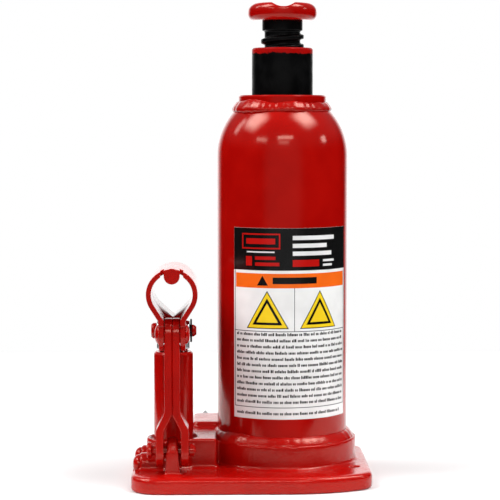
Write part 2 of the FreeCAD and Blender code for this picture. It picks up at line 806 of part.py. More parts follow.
def link_pieces():
    """The two bent straps of the link, face to face above and apart at the lug."""
    low = "foot_pin_z - strap_half"
    high = "fulcrum_z + strap_half"
    outline = fuse(
        "strap_outline",
        box("strap_length",
            ("pump_x - 20", "link_y - strap_half", "foot_pin_z"),
            ("pump_x + 20", "link_y + strap_half", "fulcrum_z")),
        rod("strap_foot", "strap_half", "40", ("pump_x - 20", "link_y", "foot_pin_z"), "X"),
        rod("strap_head", "strap_half", "40", ("pump_x - 20", "link_y", "fulcrum_z"), "X"))
    ways = fuse(
        "strap_ways",
        rod("strap_foot_way", "foot_pin_rad + pin_play", "40",
            ("pump_x - 20", "link_y", "foot_pin_z"), "X"),
        rod("strap_head_way", "fulcrum_rad + pin_play", "40",
            ("pump_x - 20", "link_y", "fulcrum_z"), "X"))
    for side, sign in (("left", "-1"), ("right", "1")):
        corners = [
            (f"{sign} * strap_gap_half", low),
            (f"{sign} * (strap_gap_half + strap_thick)", low),
            (f"{sign} * (strap_gap_half + strap_thick)", "strap_bend_low + strap_bend_shift"),
            (f"{sign} * strap_thick", "strap_bend_high + strap_bend_shift"),
            (f"{sign} * strap_thick", high),
            ("0", high),
            ("0", "strap_bend_high"),
            (f"{sign} * strap_gap_half", "strap_bend_low")]
        strip = padded(
            f"strap_{side}", "XZ_Plane", corners, "2 * strap_half + 2", ("pump_x", "link_y", "0"))
        bend_low, bend_high = number("strap_bend_low"), number("strap_bend_high")

        def at_bend(edge):
            middle = edge.CenterOfMass
            near = min(abs(middle.z - bend_low), abs(middle.z - bend_high)) < 1.5
            return near and abs(middle.y) < 0.01

        rounded(strip, "strap_bend_round", at_bend)
        trimmed = overlap(f"strap_{side}_trimmed", strip, outline)
        keep(f"link_strap_{side}", cut(f"strap_{side}_drilled", trimmed, ways))


def socket_section(name, along, half_out, half_in, leave, foot):
    """One cross-section of the handle socket: a round tube that closes into two legs."""
    def leg_top(radius, half):
        return f"socket_z - {radius} * sin({leave}) - ({radius} * cos({leave}) - {half}) / tan({leave})"

    outer_x, outer_z = f"socket_rad * cos({leave})", f"socket_z - socket_rad * sin({leave})"
    inner_x, inner_z = f"socket_bore * cos({leave})", f"socket_z - socket_bore * sin({leave})"
    right = [
        (outer_x, outer_z),
        (half_out, leg_top("socket_rad", half_out)),
        (half_out, foot),
        (half_in, foot),
        (half_in, leg_top("socket_bore", half_in)),
        (inner_x, inner_z, "0", "socket_z + socket_bore")]
    left = [(f"-({across})", up) for across, up, *arc in reversed(right)]
    left[-1] = (*left[-1], "0", "socket_z + socket_rad")
    sketch = doc.addObject("Sketcher::SketchObject", name)
    draw(sketch, right + left)
    return place(sketch, ("pump_x", along, "0"), UPRIGHT)


def socket_pieces():
    """The formed handle socket with its ears, tongue and handle stop, and the fulcrum pin."""
    foot = "fulcrum_z - 2 * ear_rad"
    loft = doc.addObject("Part::Loft", "socket_loft")
    loft.Sections = [
        socket_section("section_near", "-socket_near", "ear_out", "ear_in", "near_leave", foot),
        socket_section("section_ear_end", "-ear_end", "ear_out", "ear_in", "near_leave", foot),
        socket_section("section_tongue", "-tongue_start", "tongue_out", "tongue_in", "far_leave", foot),
        socket_section("section_far", "-socket_far", "tongue_out", "tongue_in", "far_leave", foot)]
    loft.Solid = True
    loft.Ruled = True
    outline = fuse(
        "socket_outline",
        box("socket_upper", ("pump_x - 20", "-socket_near - 1", "skirt_low"),
            ("pump_x + 20", "-socket_far + 1", "socket_z + 2 * socket_rad")),
        box("ear_leg", ("pump_x - 20", "link_y - ear_rad", "fulcrum_z"),
            ("pump_x + 20", "link_y + ear_rad", "skirt_low + 1")),
        rod("ear_end_round", "ear_rad", "40", ("pump_x - 20", "link_y", "fulcrum_z"), "X"),
        box("tongue_leg", ("pump_x - 20", "pump_y - tongue_rad", "plunger_pin_z"),
            ("pump_x + 20", "pump_y + tongue_rad", "skirt_low + 1")),
        rod("tongue_end_round", "tongue_rad", "40", ("pump_x - 20", "pump_y", "plunger_pin_z"), "X"))
    formed = overlap("socket_formed", loft, outline)

    crown_z = "socket_z + socket_rad"
    slits = [
        box(f"slit_{side}",
            (f"pump_x + {start}", "-socket_near - 1", "socket_z + socket_bore / 2"),
            (f"pump_x + {stop}", "-socket_near + stop_slit_long", crown_z + " + 1"))
        for side, start, stop in (
            ("left", "(-stop_half - stop_slit)", "(-stop_half)"),
            ("right", "stop_half", "(stop_half + stop_slit)"))]
    slot_y = "pump_y - pin_slot_shift"
    slot_rad = "plunger_pin_rad + pin_slot_play"
    pin_slot = fuse(
        "pin_slot",
        box("pin_slot_middle",
            ("pump_x - 10", f"{slot_y} - pin_slot_reach", f"plunger_pin_z - ({slot_rad})"),
            ("pump_x + 10", f"{slot_y} + pin_slot_reach", f"plunger_pin_z + {slot_rad}")),
        *[rod(f"pin_slot_{side}", slot_rad, "20",
              ("pump_x - 10", f"{slot_y} + {sign} * pin_slot_reach", "plunger_pin_z"), "X")
          for side, sign in (("front", "-1"), ("rear", "1"))])
    fulcrum_way = rod("fulcrum_way", "fulcrum_rad", "40", ("pump_x - 20", "link_y", "fulcrum_z"), "X")
    trimmed = cut("socket_trimmed", formed, pin_slot, fulcrum_way, *slits)

    wall = "(socket_rad - socket_bore)"
    tip_z = f"{crown_z} - stop_drop + stop_half"
    stop_tab = fuse(
        "stop_tab",
        box("stop_tab_upper", ("pump_x - stop_half", "-socket_near", tip_z),
            ("pump_x + stop_half", f"-socket_near + {wall}", crown_z + " - 1")),
        rod("stop_tab_tip", "stop_half", wall, ("pump_x", "-socket_near", tip_z), "Y"))
    keep("handle_socket", fuse("socket_body", trimmed, stop_tab))

    head = "ear_out + fulcrum_head_thick"
    edge = "fulcrum_head_rad"
    dome = "0.7 * fulcrum_head_rad"
    dome_out = "ear_out + 0.78 * fulcrum_head_thick"
    keep("fulcrum_pin", turned("fulcrum", [
        ("0", f"-({head})"),
        ("dome_flat", f"-({head})", dome, f"-({dome_out})"),
        (edge, "-ear_out"),
        ("fulcrum_rad", "-ear_out"),
        ("fulcrum_rad", "ear_out"),
        (edge, "ear_out", dome, dome_out),
        ("dome_flat", head),
        ("0", head)], ("pump_x", "link_y", "fulcrum_z"), "X"))


def pin_pieces():
    """The plunger pin and the link's foot pin, each with its clip."""
    at = ("pump_x", "pump_y", "plunger_pin_z")
    start = "-fork_half - 0.3"
    groove = "fork_half + 0.3"
    beyond = f"{groove} + clip_thick"
    keep("plunger_pin", turned("crank_pin", [
        ("0", f"{start} - plunger_pin_head_thick"),
        ("plunger_pin_head_rad - 0.8", f"{start} - plunger_pin_head_thick"),
        ("plunger_pin_head_rad", f"{start} - plunger_pin_head_thick + 1"),
        ("plunger_pin_head_rad", start),
        ("plunger_pin_rad", start),
        ("plunger_pin_rad", groove),
        ("clip_groove_rad", groove),
        ("clip_groove_rad", beyond),
        ("plunger_pin_rad", beyond),
        ("plunger_pin_rad", f"{beyond} + 1"),
        ("plunger_pin_rad - 1", f"{beyond} + plunger_pin_tail - 0.9"),
        ("0", f"{beyond} + plunger_pin_tail - 0.9")], at, "X"))
    disc = ring("clip_disc", "clip_groove_rad", "clip_rad", groove, beyond, at, "X")
    mouth = box(
        "clip_mouth",
        ("pump_x", "pump_y - 0.75 * clip_groove_rad", "plunger_pin_z - 2 * clip_rad"),
        ("pump_x + 4 * fork_half", "pump_y + 0.75 * clip_groove_rad", "plunger_pin_z"))
    keep("plunger_pin_clip", cut("clip", disc, mouth))

    at = ("pump_x", "link_y", "foot_pin_z")
    end = "foot_pin_end"
    keep("link_foot_pin", turned("foot_pin", [
        ("0", "-foot_pin_head_left"),
        ("foot_pin_head_rad - 0.6", "-foot_pin_head_left"),
        ("foot_pin_head_rad", "-foot_pin_head_left + 0.6"),
        ("foot_pin_head_rad", "-foot_pin_head_left + foot_pin_head_thick"),
        ("foot_pin_rad", "-foot_pin_head_left + foot_pin_head_thick"),
        ("foot_pin_rad", f"{end} - 0.8", "0.75 * foot_pin_rad", f"{end} - 0.25"),
        ("dome_flat", end),
        ("0", end)], at, "X"))
    keep("foot_pin_clip", ring(
        "pin_cap", "foot_pin_rad", "foot_pin_clip_rad", "foot_pin_clip_in",
        "foot_pin_clip_in + foot_pin_clip_thick", at, "X"))


def valve_pieces():
    """The check valves, the overload valve and the release valve."""
    plug_in = "valve_boss_end - 7"
    for name, across in (("front", "front_valve_y"), ("rear", "rear_valve_y")):
        keep(f"{name}_valve_plug", turned(f"{name}_plug", [
            ("0", plug_in),
            ("valve_bore", plug_in),
            ("valve_bore", "valve_boss_end"),
            ("valve_plug_head_rad", "valve_boss_end"),
            ("valve_plug_head_rad", "valve_boss_end + 1",
             "0.72 * valve_plug_head_rad", "valve_plug_end - 0.8"),
            ("dome_flat", "valve_plug_end"),
            ("0", "valve_plug_end")], ("0", across, "valve_z"), "-X"))
    seat = "-valve_bore_floor - valve_ball_rad"
    keep("suction_ball", ball("suction", "valve_ball_rad", (seat, "front_valve_y", "valve_z")))
    keep("discharge_ball", ball("discharge", "valve_ball_rad", (seat, "rear_valve_y", "valve_z")))
    keep("discharge_spring", coil(
        "discharge_coil", f"{plug_in} - valve_bore_floor - 2 * valve_ball_rad",
        ("-valve_bore_floor - 2 * valve_ball_rad", "rear_valve_y", "valve_z"), "-X"))

    centre = ("overload_y", "overload_z")
    keep("overload_ball", ball(
        "overload", "overload_ball_rad", ("-overload_floor - overload_ball_rad", *centre)))
    keep("overload_spring", coil(
        "overload_coil", "overload_screw_in - overload_floor - 2 * overload_ball_rad",
        ("-overload_floor - 2 * overload_ball_rad", *centre), "-X"))
    screw = rod("overload_blank", "overload_bore", "block_left - 0.5 - overload_screw_in",
                ("-overload_screw_in", *centre), "-X")
    key = hexagon("overload_key", "overload_hex_flats", "block_left", ("-block_left + 3.5", *centre), "-X")
    keep("overload_set_screw", cut("overload_screw", screw, key))

    at = ("release_x", "0", "release_z")
    stem_rad = "(release_bore - release_play)"
    floor_rad = "(release_bore - release_ring_depth)"
    stem = turned("release_stem", [
        ("0", "release_tip"),
        ("release_ball_rad - 0.5", "release_tip"),
        (stem_rad, "release_tip + 2.5"),
        (stem_rad, "release_ring_low"),
        (floor_rad, "release_ring_low"),
        (floor_rad, "release_ring_high"),
        (stem_rad, "release_ring_high"),
        (stem_rad, "release_head_near"),
        ("0", "release_head_near")], at, "Y")
    square = doc.addObject("Part::Prism", "release_square")
    square.Polygon = 4
    square.setExpression("Circumradius", cells("release_flats / sqrt(2)"))
    square.setExpression("Height", cells("release_head_far - release_head_near"))
    place(square, ("release_x", "release_head_near", "release_z"), TURNS["Y"])
    head_middle = "(release_head_near + release_head_far) / 2"
    tommy = rod("tommy_way", "release_hole_rad", "4 * release_flats",
                ("release_x", head_middle, "release_z - 2 * release_flats"))
    keep("release_screw", cut("release", fuse("release_solid", stem, square), tommy))
    keep("release_o_ring", ring(
        "release_ring", f"{floor_rad} + release_play", stem_rad, "release_ring_low + 2 * release_play",
        "release_ring_high - 2 * release_play", at, "Y"))
    keep("release_ball", ball(
        "release_sphere", "release_ball_rad",
        ("release_x", "release_floor + release_ball_rad", "release_z")))


def check_document():
    """Stop if any object failed, or any node has no valid solid."""
    doc.recompute()
    for item in doc.Objects:
        if "Invalid" in item.State or "Error" in item.State:
            raise SystemExit(f"{item.Name} ({item.Label}) failed: {item.State}")
    for node in nodes:
        shape = node.Shape
        if shape.isNull() or not shape.isValid() or not shape.Solids:
            raise SystemExit(f"{node.Label} has no valid solid")


def write_parts():
    """Write every node to its own file."""
    os.makedirs("parts", exist_ok=True)
    for node in nodes:
        node.Shape.exportStep(f"parts/{node.Label}.step")
        size = node.Shape.BoundBox
        print(f"{node.Label:24s} {len(node.Shape.Solids)} solid "
              f"x {size.XMin:7.1f} {size.XMax:7.1f}  y {size.YMin:7.1f} {size.YMax:7.1f}  "
              f"z {size.ZMin:7.1f} {size.ZMax:7.1f}  {node.Shape.Volume:10.1f} mm3")


base_and_weld()
casing_pieces()
cylinder_pieces()
ram_pieces()
screw_pieces()
pump_pieces()
link_pieces()
socket_pieces()
pin_pieces()
valve_pieces()
check_document()
write_parts()
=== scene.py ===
import json
import math
import random

import bmesh
import bpy
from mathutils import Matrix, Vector, noise


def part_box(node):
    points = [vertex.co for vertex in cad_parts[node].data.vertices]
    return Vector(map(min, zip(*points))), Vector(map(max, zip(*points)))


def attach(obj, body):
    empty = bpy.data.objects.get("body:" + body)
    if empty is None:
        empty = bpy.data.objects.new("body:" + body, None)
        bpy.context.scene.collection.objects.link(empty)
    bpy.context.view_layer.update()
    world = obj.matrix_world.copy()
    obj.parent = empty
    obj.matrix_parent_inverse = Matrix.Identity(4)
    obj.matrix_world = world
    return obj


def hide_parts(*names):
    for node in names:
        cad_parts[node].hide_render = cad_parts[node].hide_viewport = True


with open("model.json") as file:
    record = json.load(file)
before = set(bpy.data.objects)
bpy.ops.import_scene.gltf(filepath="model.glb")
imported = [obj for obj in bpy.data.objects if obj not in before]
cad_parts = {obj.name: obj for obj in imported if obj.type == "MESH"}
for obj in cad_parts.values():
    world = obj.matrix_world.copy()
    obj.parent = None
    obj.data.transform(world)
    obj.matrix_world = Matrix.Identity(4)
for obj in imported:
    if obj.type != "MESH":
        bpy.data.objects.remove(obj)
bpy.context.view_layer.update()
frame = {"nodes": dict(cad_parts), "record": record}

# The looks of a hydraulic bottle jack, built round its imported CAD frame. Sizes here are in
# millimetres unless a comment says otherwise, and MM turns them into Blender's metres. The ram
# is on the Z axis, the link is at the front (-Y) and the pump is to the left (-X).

MM = 0.001
nodes = frame["nodes"]
slots = {part["node"]: part["material_slot"] for part in frame["record"]["subparts"]}
bodies = {node: body for body, names in frame["record"]["behaviour"]["bodies"].items() for node in names}


def span(node):
    """A CAD node's lowest and highest corners in millimetres."""
    low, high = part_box(node)
    return low / MM, high / MM


# ---------------------------------------------------------------- materials

RED = (0.42, 0.0035, 0.002, 1.0)
DEEP_RED = (0.36, 0.002, 0.0012, 1.0)
GLOSS_TINT = (1.0, 0.7, 0.57, 1.0)
BLACK_OXIDE = (0.0015, 0.0015, 0.0017, 1.0)


def finish(name, **sockets):
    """A material whose uniform values are set on its shader's own sockets."""
    made = bpy.data.materials.new(name)
    made.use_nodes = True
    shader = made.node_tree.nodes["Principled BSDF"]
    for socket, value in sockets.items():
        shader.inputs[socket.replace("_", " ")].default_value = value
    return made


def add(made, kind, settings=None, **inputs):
    """Add a shader node. An input is a value, or the output socket that feeds it."""
    block = made.node_tree.nodes.new(kind)
    for name, value in (settings or {}).items():
        setattr(block, name, value)
    for name, value in inputs.items():
        feed(made, block.inputs[name.replace("_", " ")], value)
    return block


def feed(made, socket, value):
    """Give a socket a value, or link it to the output that feeds it."""
    if isinstance(value, bpy.types.NodeSocket):
        made.node_tree.links.new(value, socket)
    else:
        socket.default_value = value


def shader_of(made):
    return made.node_tree.nodes["Principled BSDF"]


def position(made):
    """The point on the piece, in metres in the row frame."""
    return add(made, "ShaderNodeTexCoord").outputs["Object"]


def clouds(made, size, detail=2.0, stretch=(1, 1, 1)):
    """Soft noise whose blobs are about size across."""
    place = add(made, "ShaderNodeMapping", Vector=position(made), Scale=stretch)
    cloud = add(
        made, "ShaderNodeTexNoise", Vector=place.outputs["Vector"], Scale=1 / (size * MM), Detail=detail)
    return cloud.outputs["Fac"]


def between(made, share, low, high, start=0.35, stop=0.65):
    """A number that goes from low to high as share goes from start to stop."""
    reached = add(made, "ShaderNodeMapRange", Value=share, From_Min=start, From_Max=stop,
                  To_Min=low, To_Max=high)
    return reached.outputs["Result"]


def tint(made, share, first, second):
    """A colour that goes from first to second as share goes from 0 to 1."""
    mix = add(made, "ShaderNodeMix", {"data_type": "RGBA"})
    feed(made, mix.inputs[0], share)
    feed(made, mix.inputs[6], first)
    feed(made, mix.inputs[7], second)
    return mix.outputs[2]


def relief(made, height, depth, under=None):
    """A bumped normal: height is a noise and depth its size."""
    bump = add(made, "ShaderNodeBump", Height=height, Distance=depth * MM)
    if under is not None:
        feed(made, bump.inputs["Normal"], under)
    return bump.outputs["Normal"]


def enamel(name, grain, depth, roughness):
    """Sprayed red enamel. The grain is what shows through from the metal below it."""
    made = finish(name, IOR=1.45, Specular_Tint=GLOSS_TINT)
    shader = shader_of(made)
    feed(made, shader.inputs["Base Color"],
         tint(made, between(made, clouds(made, 22), 0, 1), DEEP_RED, RED))
    feed(made, shader.inputs["Roughness"], between(made, clouds(made, 9), roughness, 1.6 * roughness))
    peel = relief(made, clouds(made, 2.6), 0.012)
    feed(made, shader.inputs["Normal"], relief(made, clouds(made, grain, 3.0), depth, peel))
    return made


def blackened(name, roughness):
    """Black oxide on turned steel, with its fine tool marks."""
    made = finish(name, Base_Color=BLACK_OXIDE, IOR=1.2)
    shader = shader_of(made)
    feed(made, shader.inputs["Roughness"], between(made, clouds(made, 6), roughness, 1.5 * roughness))
    rings = clouds(made, 14, 1.0, (1, 1, 40))
    feed(made, shader.inputs["Normal"], relief(made, rings, 0.02))
    return made


def oversprayed(name, edge):
    """Black steel with red enamel above a soft, uneven edge at a height in millimetres."""
    made = blackened(name, 0.3)
    shader = shader_of(made)
    height = add(made, "ShaderNodeSeparateXYZ", Vector=position(made)).outputs["Z"]
    wander = between(made, clouds(made, 3.5), -0.5 * MM, 0.5 * MM)
    drifting = add(made, "ShaderNodeMath", {"operation": "ADD"})
    feed(made, drifting.inputs[0], height)
    feed(made, drifting.inputs[1], wander)
    share = between(made, drifting.outputs["Value"], 0, 1, (edge - 0.3) * MM, (edge + 0.3) * MM)
    feed(made, shader.inputs["Base Color"], tint(made, share, BLACK_OXIDE, DEEP_RED))
    return made


def bare(name, colour, roughness, metallic=1.0):
    """Bare machined metal."""
    made = finish(name, Metallic=metallic)
    shader = shader_of(made)
    dull = tuple(0.75 * c for c in colour)
    feed(made, shader.inputs["Base Color"],
         tint(made, between(made, clouds(made, 5), 0, 1), (*dull, 1), (*colour, 1)))
    feed(made, shader.inputs["Roughness"], between(made, clouds(made, 3), roughness, 1.5 * roughness))
    feed(made, shader.inputs["Normal"], relief(made, clouds(made, 0.8), 0.01))
    return made


def rubber(name):
    """Moulded black rubber."""
    made = finish(name, Base_Color=(0.018, 0.018, 0.018, 1), IOR=1.45)
    shader = shader_of(made)
    feed(made, shader.inputs["Roughness"], between(made, clouds(made, 2), 0.5, 0.7))
    feed(made, shader.inputs["Normal"], relief(made, clouds(made, 0.6), 0.02))
    return made


def ink(name, colour):
    """Printing on the label, under the same clear film as the rest of it."""
    made = finish(name, IOR=1.45)
    shader = shader_of(made)
    dull = tuple(0.92 * c for c in colour)
    feed(made, shader.inputs["Base Color"],
         tint(made, between(made, clouds(made, 12), 0, 1), (*dull, 1), (*colour, 1)))
    feed(made, shader.inputs["Roughness"], between(made, clouds(made, 8), 0.16, 0.24))
    feed(made, shader.inputs["Normal"], relief(made, clouds(made, 5), 0.01))
    return made


ram_top = span("ram")[1].z
PAINT_EDGE = ram_top - 2.9
smooth_enamel = enamel("smooth_enamel", 6.0, 0.02, 0.09)
cast_enamel = enamel("cast_enamel", 0.9, 0.12, 0.11)
formed_enamel = enamel("formed_enamel", 0.9, 0.06, 0.1)
finishes = {
    "red_paint": smooth_enamel,
    "dark_steel": blackened("dark_steel", 0.3),
    "bare_steel": bare("bare_steel", (0.55, 0.55, 0.56), 0.28),
    "chrome_plate": bare("chrome_plate", (0.75, 0.75, 0.77), 0.08),
    "black_rubber": rubber("black_rubber"),
    "copper_gasket": bare("copper_gasket", (0.72, 0.36, 0.22), 0.35),
    "label_film": ink("label_film", (0.96, 0.96, 0.95)),
}
own_finishes = {"ram": oversprayed("ram_finish", PAINT_EDGE)}

for name, piece in nodes.items():
    piece.data.materials.clear()
    piece.data.materials.append(own_finishes.get(name, finishes[slots[name]]))


# ---------------------------------------------------------------- meshes

def stands_for(mesh, node, material):
    """Show a finished mesh in place of a CAD node, riding on that node's body."""
    piece = bpy.data.objects.new(f"{node}_finished", mesh)
    bpy.context.scene.collection.objects.link(piece)
    mesh.materials.clear()
    mesh.materials.append(material)
    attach(piece, bodies[node])
    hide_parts(node)


def eased(node, cell, passes, material, worn=None, rough=0.0):
    """A CAD node with its edges and inside corners eased, as on a casting or a stamping.

    The shape is resampled in cells of a size in millimetres, and then relaxed in passes. worn is
    a box and a number of further passes inside it, and rough is how deep the surface wanders.
    """
    draft = bpy.data.objects.new("draft", nodes[node].data.copy())
    bpy.context.scene.collection.objects.link(draft)
    resample = draft.modifiers.new("resample", "REMESH")
    resample.mode = "VOXEL"
    resample.voxel_size = cell * MM
    resample.use_smooth_shade = True
    relax = draft.modifiers.new("relax", "SMOOTH")
    relax.factor = 0.5
    relax.iterations = passes
    bpy.context.view_layer.update()
    graph = bpy.context.evaluated_depsgraph_get()
    mesh = bpy.data.meshes.new_from_object(draft.evaluated_get(graph))
    bpy.data.objects.remove(draft)
    mesh.name = f"{node}_eased"
    bm = bmesh.new()
    bm.from_mesh(mesh)
    if worn:
        low, high, extra = worn
        inside = [
            corner for corner in bm.verts
            if all(low[axis] < corner.co[axis] / MM < high[axis] for axis in range(3))]
        for _ in range(extra):
            bmesh.ops.smooth_vert(
                bm, verts=inside, factor=0.5, use_axis_x=True, use_axis_y=True, use_axis_z=True)
    if rough:
        bm.normal_update()
        for corner in bm.verts:
            if corner.co.z > 2 * MM:
                broad = noise.noise(corner.co / (7 * MM))
                fine = noise.noise(corner.co / (1.7 * MM))
                corner.co -= corner.normal * (0.5 + 0.5 * broad + 0.25 * fine) * rough * MM
    bm.to_mesh(mesh)
    bm.free()
    stands_for(mesh, node, material)


def swept_ring(name, section, turns=360):
    """A closed ring about Z. section(angle) gives its outline there as (radius, height) points."""
    bm = bmesh.new()
    rows = []
    for turn in range(turns):
        angle = 2 * math.pi * turn / turns
        rows.append([
            bm.verts.new((radius * math.cos(angle) * MM, radius * math.sin(angle) * MM, height * MM))
            for radius, height in section(angle)])
    for turn, row in enumerate(rows):
        after = rows[(turn + 1) % turns]
        for index in range(len(row)):
            beside = (index + 1) % len(row)
            bm.faces.new((row[index], after[index], after[beside], row[beside]))
    bmesh.ops.recalc_face_normals(bm, faces=bm.faces)
    mesh = bpy.data.meshes.new(name)
    bm.to_mesh(mesh)
    bm.free()
    mesh.shade_smooth()
    return mesh


def weld_bead(radius, height, thick, taller, lumps, swell, seed):
    """The section of a hand-laid weld bead: a slanting band with round edges, which wanders.

    radius and height are those of its middle. thick is half its thickness, taller stretches it
    along its slant, lumps is how uneven it is, and swell is the angle, the half width and the
    size of a bulge in it.
    """
    steps = 28
    lean = math.radians(35)
    squareness = 2 / 3
    swell_angle, swell_half, swell_size = swell

    def section(angle):
        spot = Vector((2.2 * math.cos(angle), 2.2 * math.sin(angle), seed))
        wander = noise.noise(spot)
        ripple = 0.5 + 0.5 * math.cos(34 * angle + 9 * noise.noise(0.7 * spot))
        off = abs((angle - swell_angle + math.pi) % (2 * math.pi) - math.pi) / swell_half
        bulge = swell_size * max(0.0, 1 - off * off) ** 2
        size = thick + lumps * (wander + 0.2 * ripple - 0.1) + bulge
        low = height + 0.6 * lumps * noise.noise(spot + Vector((7, 3, 1)))
        outline = []
        for step in range(steps):
            turn = 2 * math.pi * step / steps
            pitting = 0.25 * lumps * noise.noise(Vector((
                9 * math.cos(angle), 9 * math.sin(angle), seed + 1.2 * turn)))
            reach = size + pitting * math.sin(turn / 2)
            out, along = (
                math.copysign(abs(part) ** squareness * reach, part)
                for part in (math.cos(turn), math.sin(turn)))
            along *= taller
            outline.append((
                radius + out * math.cos(lean) - along * math.sin(lean),
                low + out * math.sin(lean) + along * math.cos(lean)))
        return outline

    return section


casing_high = span("reservoir_casing")[1]
foot_low = span("casing_foot_weld")[0]
collar_radius = span("hydraulic_cylinder")[1].x
front_left = math.radians(225)

stands_for(
    swept_ring("neck_bead", weld_bead(
        collar_radius + 0.3, casing_high.z - 0.5, 2.1, 1.35, 0.8, (math.radians(215), 1.2, 0.7), 2.0)),
    "neck_weld_bead", cast_enamel)
stands_for(
    swept_ring("foot_bead", weld_bead(
        casing_high.x + 0.2, foot_low.z + 0.1, 3.1, 1.25, 0.6, (front_left, 0.6, 0.3), 5.0)),
    "casing_foot_weld", cast_enamel)

lug_low, lug_high = span("link_foot_pin")
lug_middle = (lug_low + lug_high) / 2
lug_zone = (
    (lug_middle.x - 6, lug_middle.y - 12, lug_middle.z + 0.5),
    (lug_middle.x + 6, lug_middle.y + 12, lug_middle.z + 12))
eased("base_casting", 0.7, 9, cast_enamel, (*lug_zone, 16), 0.15)
for side in ("left", "right"):
    eased(f"link_strap_{side}", 0.4, 4, formed_enamel, rough=0.06)
eased("handle_socket", 0.35, 3, formed_enamel)
eased("saddle", 0.4, 20, smooth_enamel)
eased("extension_screw", 0.4, 3, finishes["dark_steel"])
eased("pump_plunger", 0.4, 3, finishes["chrome_plate"])
for pin in ("link_foot_pin", "plunger_pin", "fulcrum_pin"):
    eased(pin, 0.25, 4, formed_enamel)


# ---------------------------------------------------------------- label printing

label_low, label_high = span("label")
LABEL_RADIUS = casing_high.x + 0.15
LABEL_MIDDLE = math.radians(9.5)
LABEL_HALF = math.radians(57.5) * LABEL_RADIUS
INK = 0.02


def block(left, right, low, high):
    """A rectangle on the label, as corners of (across from its middle, height)."""
    return [(left, low), (right, low), (right, high), (left, high)]


def patches(name, shapes, radius, thick, material):
    """A mesh of thin closed patches on the curve of the label, from convex flat shapes."""
    strip = 1.5
    bm = bmesh.new()
    for shape in shapes:
        left, right = min(c[0] for c in shape), max(c[0] for c in shape)
        low, high = min(c[1] for c in shape), max(c[1] for c in shape)
        count = max(1, math.ceil((right - left) / strip))
        part = bmesh.new()
        edges = [left + (right - left) * index / count for index in range(count + 1)]
        columns = [(part.verts.new((x, low, 0)), part.verts.new((x, high, 0))) for x in edges]
        for (a, b), (c, d) in zip(columns, columns[1:]):
            part.faces.new((a, c, d, b))
        if len(shape) != 4:
            for start, stop in zip(shape, shape[1:] + shape[:1]):
                outward = Vector((stop[1] - start[1], start[0] - stop[0], 0))
                bmesh.ops.bisect_plane(
                    part, geom=part.verts[:] + part.edges[:] + part.faces[:], dist=1e-6,
                    plane_co=Vector((*start, 0)), plane_no=outward, clear_outer=True)
        front = {corner: bm.verts.new((*corner.co.xy, thick)) for corner in part.verts}
        back = {corner: bm.verts.new((*corner.co.xy, 0)) for corner in part.verts}
        for face in part.faces:
            bm.faces.new([front[corner] for corner in face.verts])
            bm.faces.new([back[corner] for corner in reversed(face.verts)])
            for rim in face.loops:
                if rim.edge.is_boundary:
                    first, second = rim.vert, rim.link_loop_next.vert
                    bm.faces.new((back[first], back[second], front[second], front[first]))
        part.free()
    for corner in bm.verts:
        angle = LABEL_MIDDLE + corner.co.x / LABEL_RADIUS
        reach = radius + corner.co.z
        corner.co = Vector((reach * math.sin(angle), -reach * math.cos(angle), corner.co.y)) * MM
    mesh = bpy.data.meshes.new(name)
    bm.to_mesh(mesh)
    bm.free()
    mesh.materials.append(material)
    return mesh


def printed(name, shapes, layer, material):
    """Shapes printed on the label, in a layer of ink over the film or over earlier layers."""
    piece = bpy.data.objects.new(
        name, patches(name, shapes, LABEL_RADIUS + layer * INK, INK, material))
    bpy.context.scene.collection.objects.link(piece)
    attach(piece, bodies["label"])


def triangle(middle, low, high):
    """An upright triangle with equal sides."""
    half = (high - low) / math.sqrt(3)
    return [(middle - half, low), (middle + half, low), (middle, high)]


def small_print(left, right, rows):
    """Rows of plain little blocks, in words, where fine print would stand."""
    draw = random.Random(5)
    blocks = []
    for row in rows:
        x = left
        word = draw.randint(2, 8)
        while x < right - 0.6:
            wide = draw.uniform(0.45, 0.8)
            tall = 1.6 if draw.random() < 0.25 else 1.15
            blocks.append(block(x, x + wide, row, row + tall))
            word -= 1
            x += wide + (0.2 if word else 0.8)
            word = word or draw.randint(2, 8)
    return blocks


black_ink = ink("black_ink", (0.006, 0.006, 0.006))
grey_ink = ink("grey_ink", (0.05, 0.05, 0.05))
white_ink = ink("white_ink", (0.92, 0.92, 0.92))
orange_ink = ink("orange_ink", (1.0, 0.16, 0.012))
yellow_ink = ink("yellow_ink", (1.0, 0.7, 0.02))
red_ink = ink("red_ink", (0.55, 0.008, 0.006))

film = patches(
    "label_film", [block(-LABEL_HALF, LABEL_HALF, label_low.z, label_high.z)],
    casing_high.x, LABEL_RADIUS - casing_high.x, finishes["label_film"])
stands_for(film, "label", finishes["label_film"])

edge = LABEL_HALF - 0.05
header_low, band_high, band_low, rule_high, rule_low = 113.0, 111.4, 103.8, 80.8, 40.6
rule = 0.35
printed("label_header", [block(-edge, edge, header_low, label_high.z - 0.05)], 0, black_ink)
printed("label_band", [block(-edge + 1.4, edge - 1.4, band_low, band_high)], 0, orange_ink)
printed("label_rules", [
    block(-edge + 1.0, edge - 1.0, rule_high, rule_high + rule),
    block(-edge + 1.0, edge - 1.0, rule_low, rule_low + rule),
    block(-edge + 0.65, -edge + 1.0, rule_low, header_low),
    block(edge - 1.0, edge - 0.65, rule_low, header_low)], 0, grey_ink)

sign_middles = (-15.0, 14.0)
sign_low, sign_high = rule_high + 1.6, band_low - 1.4
printed("label_panel_rule", [block(-0.6, -0.3, rule_high, band_low)], 0, grey_ink)
for layer, inset, sign_ink in (
        (0, 0.0, black_ink), (1, 0.45, yellow_ink), (2, 2.0, black_ink), (3, 3.3, yellow_ink)):
    printed(f"label_signs_{layer}", [
        triangle(x, sign_low + inset, sign_high - 2 * inset) for x in sign_middles], layer, sign_ink)

